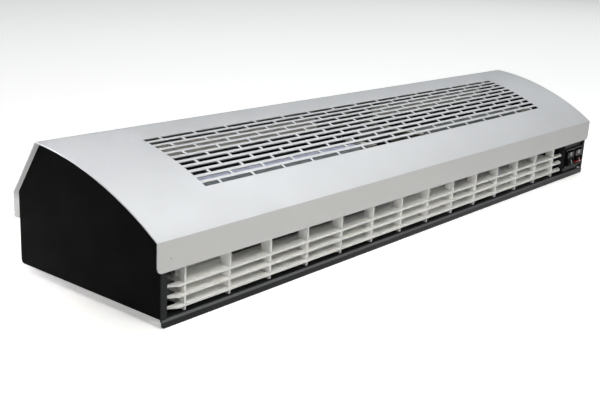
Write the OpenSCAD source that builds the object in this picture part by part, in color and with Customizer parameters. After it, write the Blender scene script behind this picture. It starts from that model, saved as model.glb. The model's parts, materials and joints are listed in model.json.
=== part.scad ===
// Electric air curtain lying on its wall side: a curved slotted sheet cover
// over two cross-flow wheels driven by one double-shaft motor.
// X runs along the length, -Y is the air outlet, +Y the upper edge in use,
// +Z faces the room. The origin is the middle of the wall side.

/* [Body] */
// Length of the cover
body_l = 820; // [780:1:900]
// Depth from the front lip to the rear skirt
body_d = 190; // [182:1:200]
// Thickness of the cover sheet
sheet_t = 1; // [0.8:0.1:1.5]
// Gap between sheets that slide or seat together
seat_gap = 0.3; // [0.2:0.05:0.5]

/* [Cover] */
// Height of the rear ridge above the chassis floor
ridge_h = 121.5; // [116:0.5:128]
// Distance of the ridge from the front lip
ridge_set = 155; // [148:1:160]
// Rise of the curved top over its chord
crown_rise = 10.8; // [8:0.1:13]
// Height of the bend above the front lip
lip_top_h = 68.2; // [62:0.1:72]
// Height of the lower edge of the front lip
lip_low_h = 42; // [38:0.5:46]
// Outer radius of the bend above the front lip
lip_bend_r = 5; // [2:0.5:8]
// Height of the bend under the rear slope
slope_low_h = 69.5; // [64:0.5:74]
// Height of the lower edge of the rear skirt
skirt_low_h = 44.5; // [42:0.5:54]
// Inside radius of the folds at the ridge and the rear slope
fold_r = 1.5; // [1.2:0.1:3]
// Radius of the cut corners of the lip and the skirt
corner_r = 5; // [2:0.5:8]

/* [Intake slots] */
// Number of slot rows
slot_rows = 11; // [7:1:12]
// Number of whole slots in an even row
slot_cols = 15; // [9:1:16]
// Pitch of the slots along a row
slot_pitch = 42.9; // [38:0.1:44]
// Sheet left between two slots of a row
slot_web = 3.2; // [2:0.1:5]
// Width of a slot
slot_w = 4.7; // [3.5:0.1:5.5]
// Pitch of the rows along the curve
row_pitch = 8.1; // [7.6:0.1:8.6]
// Distance of the first row from the ridge along the curve
row_set = 37.5; // [30:0.5:39]

/* [End plates and tray] */
// Overhang of the cover past each end plate
cover_over = 5.4; // [3:0.1:8]
// Thickness of the end plates and the tray
plate_t = 1.2; // [1:0.1:2]
// Width of the turned-in front edge of an end plate
plate_flange = 6; // [5:0.5:8]
// Height of the turned-down front edge of the tray
base_lip = 6; // [5:0.5:10]
// Outer radius of the tray's front bend
base_bend_r = 2.6; // [2:0.1:3]
// Setback of the tray's front edge from the front lip
tray_set = 0.6; // [0.4:0.1:1.5]
// Radius of the lower rear corner of an end plate
plate_corner_r = 4; // [2:0.5:12]
// Spacing of the wall holes along the body
hang_pitch = 640; // [560:1:680]
// Spacing of the wall holes across the body
hang_row = 100; // [80:1:104]
// Diameter of a wall hole
hang_d = 7; // [5:0.5:9]
// Length of the wall rail under the tray
rail_l = 690; // [600:1:720]

/* [Outlet grille] */
// Distance of the first rib from the left end of the cover
rib_set = 34.7; // [30:0.1:40]
// Distance of the last rib from the right end of the cover
control_bay = 98.1; // [96:0.1:110]
// Thickness of a rib
rib_t = 2; // [1.5:0.1:3]
// Depth of a rib
rib_depth = 11.5; // [9:0.5:14]
// Setback of the grille's front edges from the front lip
grille_set = 4; // [3:0.5:5]
// Number of blades
blade_count = 3; // [2:1:3]
// Height of the middle of the lowest blade above the floor
blade_low_h = 6.9; // [5:0.1:8]
// Spacing of the blades
blade_pitch = 10.1; // [9:0.1:11]
// Thickness of a blade
blade_t = 1.8; // [1.4:0.1:2.6]
// Depth of a blade
blade_depth = 23; // [18:0.5:25]
// Overhang of the blades past the first rib
tip_left = 16.7; // [14:0.1:20]
// Gap between the ends of the blades and the switch panel
tip_gap = 1.6; // [1:0.1:6]

/* [Fans] */
// Radius of a fan wheel
wheel_r = 37.5; // [34:0.5:38]
// Distance of the wheel axis from the front lip
axis_set = 106; // [105:0.5:108]
// Height of the wheel axis above the floor
axis_h = 58; // [57:0.5:60]
// Number of blades on a wheel
wheel_blades = 26; // [20:1:32]
// Radial depth of a wheel blade
wheel_blade_w = 9; // [7:0.5:11]
// Thickness of a wheel blade
wheel_blade_t = 0.9; // [0.7:0.1:1.4]
// Radius of the motor shaft
shaft_r = 3; // [2.5:0.25:4]
// Radial running clearance of a shaft in its bearing
run_gap = 0.05; // [0.02:0.01:0.1]
// Thickness of the galvanised fan sheets
duct_t = 0.8; // [0.6:0.1:1.2]
// Radius of the scroll behind a wheel
scroll_r = 45; // [44:0.5:47]
// Radius of the motor casing
motor_r = 34; // [30:0.5:36]
// Length of the motor casing
motor_l = 52; // [44:1:58]
// Radius of a heating tube
heater_r = 4.2; // [3:0.1:5]

/* [Controls] */
// Width of a rocker switch frame
rocker_w = 25.5; // [24:0.5:26]
// Height of a rocker switch frame
rocker_h = 27; // [25:0.5:29]
// Height of the middle of the switches above the floor
rocker_mid_h = 21; // [19:0.5:22]
// Width of a rocker key
key_w = 20; // [18:0.5:21]
// Radius of a rocker key about its pivot
key_r = 11; // [10:0.25:11.5]
// Angle between the two positions of a key
key_swing = 18; // [14:1:22]
// Setback of the switch panel from the front lip
panel_set = 4; // [3.5:0.5:5]

/* [Hidden] */
$fn = 96;
eps = 0.01;
far = 400;
// Overlap of a rounding with the lines and arcs that it runs into.
blend = 0.004;
// Length of a cutter that passes one plate with room on both sides.
drill = 6;

// Distances from the front lip and heights above the chassis floor.
function ys(set) = -body_d / 2 + set;
function zs(h) = base_lip + h;
plate_out = body_l / 2 - cover_over;
plate_in = plate_out - plate_t;
floor_top = plate_t;
// Sheets behind the grille: where they stand, their thickness and the width of their feet.
blank_set = grille_set + blade_depth + seat_gap;
blank_t = 1;
sheet_foot = 12;
// Screws through the end plates' feet: radius of the thread.
screw_r = 2;

// Circle of the curved top, through the ridge and the lip bend.
chord = [ridge_set, ridge_h - lip_top_h];
chord_l = norm(chord);
crown_r = (chord_l * chord_l / 4 + crown_rise * crown_rise) / (2 * crown_rise);
crown_n = [-chord[1], chord[0]] / chord_l;
crown_c = [ridge_set, ridge_h + lip_top_h] / 2 + crown_n * (crown_rise - crown_r);
ridge_a = atan2(ridge_h - crown_c[1], ridge_set - crown_c[0]);

// Straight rear slope.
slope_v = [body_d - ridge_set, slope_low_h - ridge_h];
slope_u = slope_v / norm(slope_v);
slope_n = [-slope_u[1], slope_u[0]];

// Centres of the roundings: where the curved top meets the front lip, and at
// distance r inside both the curved top and the rear slope.
function lip_c() =
    [lip_bend_r, crown_c[1] + sqrt(pow(crown_r - lip_bend_r, 2) - pow(lip_bend_r - crown_c[0], 2))];
function ridge_c(r) =
    let (q = [ridge_set, ridge_h] - slope_n * r - crown_c, b = q * slope_u)
    crown_c + q - slope_u * (b + sqrt(b * b - q * q + pow(crown_r - r, 2)));

// Corner P between the unit directions a and b, rounded to radius r.
module eased(p, a, b, r) {
    bis = (a + b) / norm(a + b);
    half = acos(a * b) / 2;
    c = p + bis * r / sin(half);
    union() {
        difference() {
            children();
            polygon([p + a * r / tan(half), c, p + b * r / tan(half), p - bis * r]);
        }
        translate(c) circle(r + blend);
    }
}

// Side outline of the covered space, set inwards by o. The y axis is the
// distance from the front lip and the z axis the height above the floor.
module body_outline(o) {
    low = -2 * base_lip;
    clear = 9;
    s0 = [ridge_set, ridge_h] - slope_n * o;
    slope_hit = s0 + slope_u * ((body_d - o - s0[0]) / slope_u[0]);
    slope_far = s0 - slope_u * 30;
    fr = fold_r + sheet_t - min(o, sheet_t);
    lc = lip_c();
    lip_n = (lc - crown_c) / norm(lc - crown_c);
    rc = ridge_c(fr + o);
    ridge_n = (rc - crown_c) / norm(rc - crown_c);
    eased(slope_hit, -slope_u, [0, -1], fr)
    union() {
        difference() {
            intersection() {
                translate(crown_c) circle(crown_r - o, $fn = 720);
                polygon([[o, low], [o, far], [slope_far[0], far], slope_far, slope_hit, [body_d - o, low]]);
            }
            polygon([[-1, lc[1]], lc, crown_c + lip_n * (crown_r + clear), [-1, far]]);
            polygon([rc, rc + ridge_n * clear, rc + (ridge_n + slope_n) * clear, rc + slope_n * clear]);
        }
        translate(lc) circle(lip_bend_r - min(o, lip_bend_r - 0.5) + blend);
        translate(rc) circle(fr + blend);
    }
}

// Stands a side outline up in the YZ plane at x, extruded towards +X.
module along_x(x, l) {
    translate([x, ys(0), zs(0)]) rotate([90, 0, 90]) linear_extrude(l) children();
}

// Cuts the two lower corners of a sheet edge round.
module corner_cuts(half_l, h, y0, y1, r) {
    for (s = [-1, 1])
        translate([s * half_l, 0, zs(h)])
        difference() {
            translate([-r, y0, -1]) cube([2 * r, y1 - y0, r + 1]);
            translate([-s * r, y1 + 1, r]) rotate([90, 0, 0]) cylinder(r = r, h = y1 - y0 + 2);
        }
}

module cover() {
    color("whitesmoke")
    difference() {
        along_x(-body_l / 2, body_l)
        difference() {
            body_outline(0);
            body_outline(sheet_t);
            translate([-1, -far]) square([body_d / 2, far + lip_low_h]);
            translate([body_d / 2, -far]) square([body_d, far + skirt_low_h]);
        }
        corner_cuts(body_l / 2, lip_low_h, ys(-1), ys(sheet_t + 1), corner_r);
        corner_cuts(body_l / 2, skirt_low_h, ys(body_d - sheet_t - 1), ys(body_d + 1), corner_r);
        intake_slots();
        for (x = lip_rivet_x) translate([x, ys(-1), zs(lip_rivet_h)])
            rotate([-90, 0, 0]) cylinder(r = rivet_r + run_gap, h = sheet_t + 2);
    }
}

// Slot cutters in running bond: every other row starts with a half slot.
slot_field = slot_cols * slot_pitch;
module intake_slots() {
    for (i = [0 : slot_rows - 1]) {
        a = ridge_a + (row_set + i * row_pitch) / crown_r * 180 / PI;
        translate([0, ys(crown_c[0]), zs(crown_c[1])])
        rotate([a - 90, 0, 0])
        translate([-slot_field / 2, -slot_w / 2, crown_r - 3 * sheet_t])
        slot_row(i % 2 == 0);
    }
}
module slot_row(halves) {
    h = 5 * sheet_t;
    first = halves ? 1 : 0;
    for (k = [0 : slot_cols - 1 - first])
        translate([(k + first / 2) * slot_pitch + slot_web / 2, 0, 0])
            cube([slot_pitch - slot_web, slot_w, h]);
    if (halves)
        for (x = [0, (slot_cols - 0.5) * slot_pitch])
            translate([x + slot_web / 2, 0, 0])
                cube([slot_pitch / 2 - slot_web, slot_w, h]);
}

// Chassis tray: floor with a front edge bent down to the wall plane.
base_corner_r = 3;
upstand_h = skirt_low_h + 9;
foot_rows = [blank_set + sheet_foot + 2 * screw_r, body_d - 40];
foot_inset = 11;
tray_inset = 6.5;
module base_tray() {
    b = base_bend_r;
    f = tray_set;
    rear = body_d - sheet_t - seat_gap - plate_t - seat_gap;
    color("#1c1c1d")
    difference() {
        union() {
            along_x(-plate_in + tray_inset, 2 * (plate_in - tray_inset))
            {
                translate([f + b, 0]) square([rear - f - b, plate_t]);
                translate([rear - plate_t, 0]) square([plate_t, upstand_h]);
            }
            along_x(-plate_out, 2 * plate_out) {
                translate([f, -base_lip]) square([plate_t, base_lip + plate_t - b]);
                intersection() {
                    difference() {
                        translate([f + b, plate_t - b]) circle(b);
                        translate([f + b, plate_t - b]) circle(b - plate_t);
                    }
                    translate([f, plate_t - b]) square([b, b]);
                }
            }
        }
        corner_cuts(plate_out, -base_lip, ys(f - 1), ys(f + plate_t + 0.5), base_corner_r);
        hang_holes(-1, plate_t + 2);
        at_feet() translate([0, 0, -1]) cylinder(r = screw_r + run_gap, h = plate_t + 2);
    }
}
module at_feet() {
    for (s = [-1, 1]) for (y = foot_rows)
        translate([s * (plate_in - foot_inset), ys(y), zs(0)]) children();
}
module hang_holes(h, l) {
    for (x = [-1, 1]) for (y = [-1, 1])
        translate([x * hang_pitch / 2, y * hang_row / 2, zs(h)]) cylinder(r = hang_d / 2, h = l);
}

// Folded rail under the rear of the tray that meets the wall.
rail_set = body_d - 38;
module wall_rail() {
    w = 16;
    color("#1c1c1d")
    along_x(-rail_l / 2, rail_l)
    translate([rail_set, 0]) {
        translate([0, -plate_t]) square([w, plate_t]);
        translate([w - plate_t, -base_lip]) square([plate_t, base_lip]);
        translate([w - plate_t, -base_lip]) square([w, plate_t]);
    }
}

// End plates: cut to the cover's inside, edges turned in along the front and the floor.
module end_plate(side) {
    o = sheet_t + seat_gap;
    c = plate_corner_r;
    w = plate_flange;
    low = floor_top + seat_gap;
    x0 = side < 0 ? -plate_out : plate_in;
    color("#0d0d0e")
    difference() {
        union() {
            along_x(x0, plate_t)
            eased([body_d - o, low], [-1, 0], [0, 1], c)
            difference() {
                body_outline(o);
                translate([-1, low - far]) square([body_d + 2, far]);
            }
            // front edge, turned in
            translate([side < 0 ? -plate_out : plate_out - w, ys(o), zs(low)])
                cube([w, plate_t, lip_top_h - floor_top - flange_short]);
            // tab behind the lip that takes the rivet
            translate([side < 0 ? -plate_out : plate_out - tab_w, ys(o), zs(lip_rivet_h - tab_h / 2)])
                cube([tab_w, plate_t, tab_h]);
            // foot on the tray floor
            translate([side < 0 ? -plate_out : plate_out - foot_w, ys(foot_set), zs(low)])
                cube([foot_w, body_d - 2 * foot_set, plate_t]);
        }
        for (x = lip_rivet_x) translate([x, ys(-1), zs(lip_rivet_h)])
            rotate([-90, 0, 0]) cylinder(r = rivet_r + run_gap, h = drill);
        at_feet() cylinder(r = screw_r + run_gap, h = drill);
        if (side > 0)
            translate([plate_in - 1, ys(gland_set), zs(gland_h)]) rotate([0, 90, 0])
                cylinder(r = gland_neck_r, h = plate_t + 2);
    }
}
foot_w = 17;
foot_set = 16;
flange_short = 4;
module end_plate_left() end_plate(-1);
module end_plate_right() end_plate(1);

// Flush rivets that hold the cover's lip to the end plates, with upset tails.
rivet_r = 1;
rivet_tail_r = 1.8;
rivet_tail_l = 1.4;
tab_w = 18;
tab_h = 13;
lip_rivet_h = lip_low_h + 10.6;
lip_rivet_inset = 14.4;
lip_rivet_x = [-body_l / 2 + lip_rivet_inset, body_l / 2 - lip_rivet_inset];
module lip_rivets() {
    grip = sheet_t + seat_gap + plate_t + 0.1;
    color("#55585a")
    for (x = lip_rivet_x)
        translate([x, ys(0.1), zs(lip_rivet_h)]) rotate([-90, 0, 0])
        union() {
            cylinder(r = rivet_r, h = grip + rivet_tail_l);
            translate([0, 0, grip]) cylinder(r = rivet_tail_r, h = rivet_tail_l);
        }
}

// Pan head screws that hold the end plates' feet to the tray.
module foot_screws() {
    head_h = 1.6;
    color("#9a9a98")
    at_feet() {
        translate([0, 0, -head_h]) cylinder(r1 = screw_r + 0.4, r2 = screw_r + 1.4, h = head_h);
        cylinder(r = screw_r, h = floor_top + plate_t + 3);
    }
}

// One moulding: level blades crossed by upright ribs. The ribs part the outlet
// into bays: one blank, five for a fan, two at the motor, five for a fan.
rib_count = 14;
rib_pitch = (body_l - rib_set - control_bay) / (rib_count - 1);
function rib_x(i) = -body_l / 2 + rib_set + i * rib_pitch;
function blade_h(j) = blade_low_h + j * blade_pitch;
rib_top_h = lip_low_h + 6;
rib_set_back = 0.9;
module outlet_grille() {
    x0 = rib_x(0) - tip_left;
    x1 = panel_left - tip_gap;
    g = grille_set;
    rib_y = ys(g + rib_set_back);
    color("#e6e5e1")
    union() {
        for (j = [0 : blade_count - 1])
            translate([0, ys(g), zs(blade_h(j) - blade_t / 2)])
            linear_extrude(blade_t) blade_plan(x0, x1);
        for (i = [0 : rib_count - 1])
            translate([rib_x(i) - rib_t / 2, rib_y, zs(floor_top + seat_gap)])
                cube([rib_t, rib_depth, rib_top_h - floor_top - seat_gap]);
        // rail behind the lip that holds the rib tops
        translate([rib_x(0) - rib_t / 2, rib_y, zs(rib_top_h - 2)])
            cube([rib_x(rib_count - 1) - rib_x(0) + rib_t, rib_depth, 2]);
    }
}
// Plan of a blade: full depth between the outer ribs, a narrow leaf with a
// slanted nose beyond them. Each nose point is its distance from the end of the
// blade and from the front edge.
leaf_depth = 7;
blade_nose = [[8.8, 0], [0.8, 5.2], [0, 6], [0.6, leaf_depth]];
module blade_plan(x0, x1) {
    a = rib_x(0) - rib_t / 2;
    b = rib_x(rib_count - 1) + rib_t / 2;
    polygon([
        for (p = blade_nose) [x0 + p[0], p[1]],
        [a, leaf_depth], [a, blade_depth], [b, blade_depth], [b, leaf_depth],
        for (k = [len(blade_nose) - 1 : -1 : 0]) [x1 - blade_nose[k][0], blade_nose[k][1]]
    ]);
}

// Closing plates behind the bays that no fan blows through.
// Each one laps over the mouth of the fan housing to its right.
blank_h = lip_low_h + 16;
blank_lap = 13;
baffle_end = rib_x(0) + 12;
module blanking_plates() {
    g = duct_t / 2 + seat_gap;
    color("#d8d7d2")
    for (b = [[baffle_end + seat_gap, rib_x(1)], [rib_x(6) + g, rib_x(8)]])
        translate([b[0], ys(blank_set), zs(floor_top + seat_gap)]) {
            cube([b[1] + blank_lap - b[0], blank_t, blank_h]);
            cube([b[1] - g - b[0], sheet_foot, blank_t]);
        }
}

// Black upright sheet beside the grille, between the end plate and the first bay.
module end_baffle() {
    x0 = -plate_in + seat_gap;
    foot_x = -plate_out + foot_w + seat_gap;
    w = baffle_end - x0;
    up = plate_t + seat_gap;
    color("#1c1c1d") {
        translate([x0, ys(blank_set), zs(floor_top + seat_gap + up)]) cube([w, blank_t, blank_h - up]);
        translate([foot_x, ys(blank_set), zs(floor_top + seat_gap)]) cube([baffle_end - foot_x, sheet_foot, blank_t]);
        translate([foot_x, ys(blank_set), zs(floor_top + seat_gap)]) cube([baffle_end - foot_x, blank_t, 2 * up]);
    }
}

// Fan housing: cheeks, scroll and stabiliser, in the side outline's axes.
axis_p = [axis_set, axis_h];
duct_front = blank_set + blank_t + seat_gap;
duct_roof_h = rib_top_h + 2;
function at_angle(c, r, a) = c + r * [cos(a), sin(a)];

// Scroll: duct floor, arc behind the wheel and a lip that leans back on top.
scroll_c = axis_p - [1, 4.5];
scroll_top_a = 64;
scroll_lip = 12.8;
duct_floor_h = scroll_c[1] - scroll_r;
module scroll_line() {
    t = duct_t;
    r = scroll_r;
    intersection() {
        difference() {
            translate(scroll_c) circle(r);
            translate(scroll_c) circle(r - t);
        }
        polygon([scroll_c, scroll_c + [0, -2 * r], scroll_c + 2 * r * [1, -1], scroll_c + 2 * r * [1, 1],
            at_angle(scroll_c, 2 * r, scroll_top_a)]);
    }
    translate([duct_front, duct_floor_h]) square([scroll_c[0] - duct_front, t]);
}
module scroll_lip_line() {
    translate(scroll_c) rotate(scroll_top_a) translate([scroll_r - duct_t * 0.7, -duct_t])
        square([scroll_lip, duct_t]);
}
// Stretch between two cheeks, clear of both.
module between_cheeks(i0, i1) {
    along_x(rib_x(i0) + duct_t / 2 + seat_gap, (i1 - i0) * rib_pitch - duct_t - 2 * seat_gap) children();
}
module scroll(i0, i1) {
    color("#a9a79f")
    union() {
        between_cheeks(i0, i1) scroll_line();
        between_cheeks(i0, i1) scroll_lip_line();
    }
}
module scroll_left() scroll(1, 6);
module scroll_right() scroll(8, 13);

// Stabiliser: duct roof, wall in front of the wheel, nose and a shelf under the cover.
// The nose keeps its gap to the wheel, and the wall leans forward down to the duct.
nose_gap = 3.7;
nose_a = 136;
wall_gap = 3.5;
wall_rise = 13;
wall_foot = 12;
shelf_run = [34, 9];
nose_p = at_angle(axis_p, wheel_r + nose_gap, nose_a);
wall_low = [axis_set - wheel_r - wall_foot, duct_roof_h];
wall_mid = [axis_set - wheel_r - wall_gap, axis_h + wall_rise];
shelf_end = nose_p - shelf_run;
module stabiliser(i0, i1) {
    t = duct_t;
    color("#b4b4bd")
    between_cheeks(i0, i1)
    polygon([
        [duct_front, duct_roof_h], wall_low, wall_mid, nose_p, shelf_end,
        shelf_end - [0, t], nose_p - [1.5 * t, t], wall_mid - [t, 0], wall_low + [-t / 2, t],
        [duct_front, duct_roof_h + t]
    ]);
}
module stabiliser_left() stabiliser(1, 6);
module stabiliser_right() stabiliser(8, 13);

// Side cheek of a fan housing: level top edge folded away from the wheel, and
// holes for the shaft end and the heater.
cheek_hole_r = 14;
cheek_top_h = axis_h + 30;
cheek_flange = 9;
cheek_relief = 6;
cheek_lap = 2;
cheek_front = duct_front + 15;
module cheek_sheet(i) {
    along_x(rib_x(i) - duct_t / 2, duct_t)
    difference() {
        intersection() {
            children();
            body_outline(sheet_t + 2 * seat_gap + 0.4);
            translate([0, floor_top + seat_gap]) square([body_d, cheek_top_h - floor_top - seat_gap]);
        }
        translate(axis_p) circle(cheek_hole_r);
        for (h = heater_h) translate([heater_set, h]) circle(heater_r + seat_gap);
    }
}
module fan_cheek(i, side) {
    color("#b9b8b2")
    union() {
        cheek_sheet(i) translate(scroll_c) circle(scroll_r + cheek_lap);
        cheek_sheet(i) polygon([[duct_front, 0], [duct_front, duct_roof_h], [cheek_front, cheek_top_h],
            [axis_set, cheek_top_h], [axis_set, 0]]);
        along_x(rib_x(i) - duct_t / 2 - (side < 0 ? cheek_flange : 0), cheek_flange + duct_t)
            translate([cheek_front + cheek_relief, cheek_top_h - duct_t])
            square([axis_set - cheek_front - 2 * cheek_relief, duct_t]);
    }
}
module fan_cheek_1() fan_cheek(1, -1);
module fan_cheek_2() fan_cheek(6, 1);
module fan_cheek_3() fan_cheek(8, -1);
module fan_cheek_4() fan_cheek(13, 1);

// Puts children on the wheel axis, turned so that their z axis is +X.
module on_axis(x) {
    translate([x, ys(axis_set), zs(axis_h)]) rotate([0, 90, 0]) children();
}

// Cross-flow wheel: curved blades between stiffening discs.
wheel_gap = 4;
wheel_l = 5 * rib_pitch - 2 * wheel_gap - duct_t;
wheel_cells = 5;
disc_t = 1.2;
disc_rim = 1.5;
module wheel_blade() {
    // radius and centre of the blade's bend
    rb = wheel_blade_w * 0.95;
    mid = [wheel_r - 0.7 * wheel_blade_w, 0];
    intersection() {
        difference() {
            circle(wheel_r - 0.4);
            circle(wheel_r - wheel_blade_w);
        }
        difference() {
            translate(mid) circle(rb);
            translate(mid) circle(rb - wheel_blade_t);
        }
        square([wheel_r, wheel_r]);
    }
}
module fan_wheel(x0) {
    color("#2b2d30")
    on_axis(x0) {
        linear_extrude(wheel_l)
        for (a = [0 : wheel_blades - 1]) rotate(a * 360 / wheel_blades) wheel_blade();
        for (k = [0 : wheel_cells])
            translate([0, 0, k * (wheel_l - disc_t) / wheel_cells])
            linear_extrude(disc_t)
            difference() {
                circle(wheel_r);
                circle(k == 0 || k == wheel_cells ? hub_r + run_gap : wheel_r - wheel_blade_w - disc_rim);
            }
    }
}
hub_r = 11;
hub_lip = 4;
hub_lip_t = 2.5;
hub_l = disc_t + 2 * hub_lip_t + 4 * run_gap;
module fan_wheel_left() fan_wheel(rib_x(1) + wheel_gap + duct_t / 2);
module fan_wheel_right() fan_wheel(rib_x(8) + wheel_gap + duct_t / 2);

// Rubber hubs that clamp the wheels' inner discs to the motor shaft.
module hub() {
    difference() {
        union() {
            translate([0, 0, -hub_l / 2]) cylinder(r = hub_r, h = hub_l);
            for (z = [disc_t / 2 + run_gap, -disc_t / 2 - run_gap - hub_lip_t])
                translate([0, 0, z]) cylinder(r = hub_r + hub_lip, h = hub_lip_t);
        }
        translate([0, 0, -hub_l]) cylinder(r = shaft_r + run_gap, h = 2 * hub_l);
    }
}
wheel_ends = [
    rib_x(1) + wheel_gap + duct_t / 2 + disc_t / 2, rib_x(6) - wheel_gap - duct_t / 2 - disc_t / 2,
    rib_x(8) + wheel_gap + duct_t / 2 + disc_t / 2, rib_x(13) - wheel_gap - duct_t / 2 - disc_t / 2
];
module drive_hubs() {
    color("#3a3633") for (x = wheel_ends) on_axis(x) hub();
}

// Short shafts that carry the outer ends of the wheels.
module stub_shafts() {
    past = bearing_t + 3;
    l = wheel_gap + duct_t / 2 + disc_t / 2 + hub_l / 2 + past;
    color("#c6c8ca")
    at_outer_cheeks() translate([0, 0, past - l]) cylinder(r = shaft_r, h = l);
}
module motor_shaft() {
    x0 = wheel_ends[1] - hub_l / 2;
    color("#c6c8ca") on_axis(x0) cylinder(r = shaft_r, h = wheel_ends[2] + hub_l / 2 - x0);
}

// Shaded-pole style induction motor with two end bells.
motor_x = rib_x(7);
bell_t = 3;
rotor_r = motor_r * 0.5;
module motor_rotor() {
    l = motor_l * 0.5;
    color("#8d9196")
    on_axis(motor_x - l / 2)
    difference() {
        cylinder(r = rotor_r, h = l);
        translate([0, 0, -1]) cylinder(r = shaft_r + run_gap, h = l + 2);
    }
}
air_gap = 0.5;
module motor_stator() {
    l = motor_l * 0.55;
    color("#7a4a2c")
    on_axis(motor_x - l / 2)
    difference() {
        cylinder(r = motor_r - bell_t - seat_gap, h = l);
        translate([0, 0, -1]) cylinder(r = rotor_r + air_gap, h = l + 2);
    }
}
module motor_casing() {
    vents = 10;
    vent_w = 4;
    color("#161617")
    on_axis(motor_x - motor_l / 2)
    difference() {
        cylinder(r = motor_r, h = motor_l);
        translate([0, 0, bell_t]) cylinder(r = motor_r - bell_t, h = motor_l - 2 * bell_t);
        translate([0, 0, -1]) cylinder(r = bearing_r, h = motor_l + 2);
        for (a = [0 : vents - 1]) rotate(a * 360 / vents)
            translate([motor_r * 0.62, -vent_w / 2, -1]) cube([motor_r * 0.2, vent_w, motor_l + 2]);
    }
}
bearing_r = 8;
bearing_t = 5;
module bearing_ring() {
    difference() {
        cylinder(r = bearing_r - run_gap, h = bearing_t);
        translate([0, 0, -1]) cylinder(r = shaft_r + run_gap, h = bearing_t + 2);
    }
}
module motor_bearings() {
    color("#b58d4a") {
        on_axis(motor_x - motor_l / 2) bearing_ring();
        on_axis(motor_x + motor_l / 2 - bearing_t) bearing_ring();
    }
}
// Cradle that carries the motor on the tray floor.
module motor_bracket() {
    w = 24;
    foot = 30;
    post = 12;
    t = 1.5;
    wall = 2 * t;
    g = seat_gap;
    low = floor_top + g;
    rise = axis_h - motor_r - low - g;
    color("#a9a79f")
    difference() {
        along_x(motor_x - w / 2, w)
        union() {
            difference() {
                translate(axis_p) circle(motor_r + g + t);
                translate(axis_p) circle(motor_r + g);
                translate([0, axis_h]) square([body_d, far]);
            }
            translate([axis_set - post, low]) square([2 * post, rise - t / 3]);
            translate([axis_set - foot, low]) square([2 * foot, t]);
        }
        along_x(motor_x - w, 2 * w) translate([axis_set - post + wall, low + t])
            square([2 * (post - wall), rise - 2 * t - t / 3]);
    }
}

// Plain bearings of the outer wheel ends, in rubber mounts that grip the cheeks.
mount_wall = 3;
mount_in = 0.6;
module at_outer_cheeks() {
    on_axis(rib_x(1)) mirror([0, 0, 1]) children();
    on_axis(rib_x(13)) children();
}
module end_bearings() {
    color("#b58d4a") at_outer_cheeks() translate([0, 0, 1]) bearing_ring();
}
module bearing_mounts() {
    g = duct_t / 2 + seat_gap;
    color("#26221f")
    at_outer_cheeks()
    difference() {
        union() {
            translate([0, 0, -g - mount_in]) cylinder(r = cheek_hole_r - seat_gap, h = g + mount_in + bearing_t + 2);
            translate([0, 0, g]) cylinder(r = cheek_hole_r + 4, h = mount_wall);
        }
        translate([0, 0, 1]) cylinder(r = bearing_r, h = bearing_t + 2);
        translate([0, 0, -2 * mount_wall]) cylinder(r = shaft_r + 1, h = 3 * mount_wall);
    }
}

// Motor capacitor lying in front of the motor.
module run_capacitor() {
    r = 11;
    l = 50;
    stud_r = 4;
    stud_l = 6;
    color("#1b1b1c")
    translate([motor_x - l / 2, ys(blank_set + sheet_foot + 2 + r), zs(floor_top + seat_gap + r)])
    rotate([0, 90, 0]) {
        cylinder(r = r, h = l);
        translate([0, 0, l]) cylinder(r = stud_r, h = stud_l);
    }
}

// Tubular heating elements across each outlet duct, bent back at the outer end.
heater_leg = 17;
heater_set = duct_front + 16;
heater_low_h = duct_floor_h + duct_t + heater_r + 3;
heater_h = [heater_low_h, heater_low_h + heater_leg];
module heater(i0, i1, s) {
    bend = 8;
    xa = rib_x(i0) - (s < 0 ? 0 : bend);
    xb = rib_x(i1) + (s < 0 ? bend : 0);
    color("#6e6a66") {
        for (h = heater_h)
            translate([xa, ys(heater_set), zs(h)]) rotate([0, 90, 0]) cylinder(r = heater_r, h = xb - xa);
        translate([s < 0 ? xa : xb, ys(heater_set), zs((heater_h[0] + heater_h[1]) / 2)])
        rotate([90, 0, 0])
        intersection() {
            rotate_extrude() translate([heater_leg / 2, 0]) circle(heater_r, $fn = 32);
            translate([s < 0 ? -far : 0, -far, -far]) cube([far, 2 * far, 2 * far]);
        }
    }
}
module heater_left() heater(1, 6, -1);
module heater_right() heater(8, 13, 1);

// Bimetal disc thermostat on the roof of the left duct.
module thermal_cutout() {
    r = 7;
    h = 4;
    tag = [8, 4, 2];
    color("#2a2320")
    translate([rib_x(6) - 30, ys(duct_front + 2 * r), zs(duct_roof_h + duct_t + seat_gap)]) {
        cylinder(r = r, h = h);
        translate([-tag[0] / 2, -tag[1] / 2, h]) cube(tag);
    }
}

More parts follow.
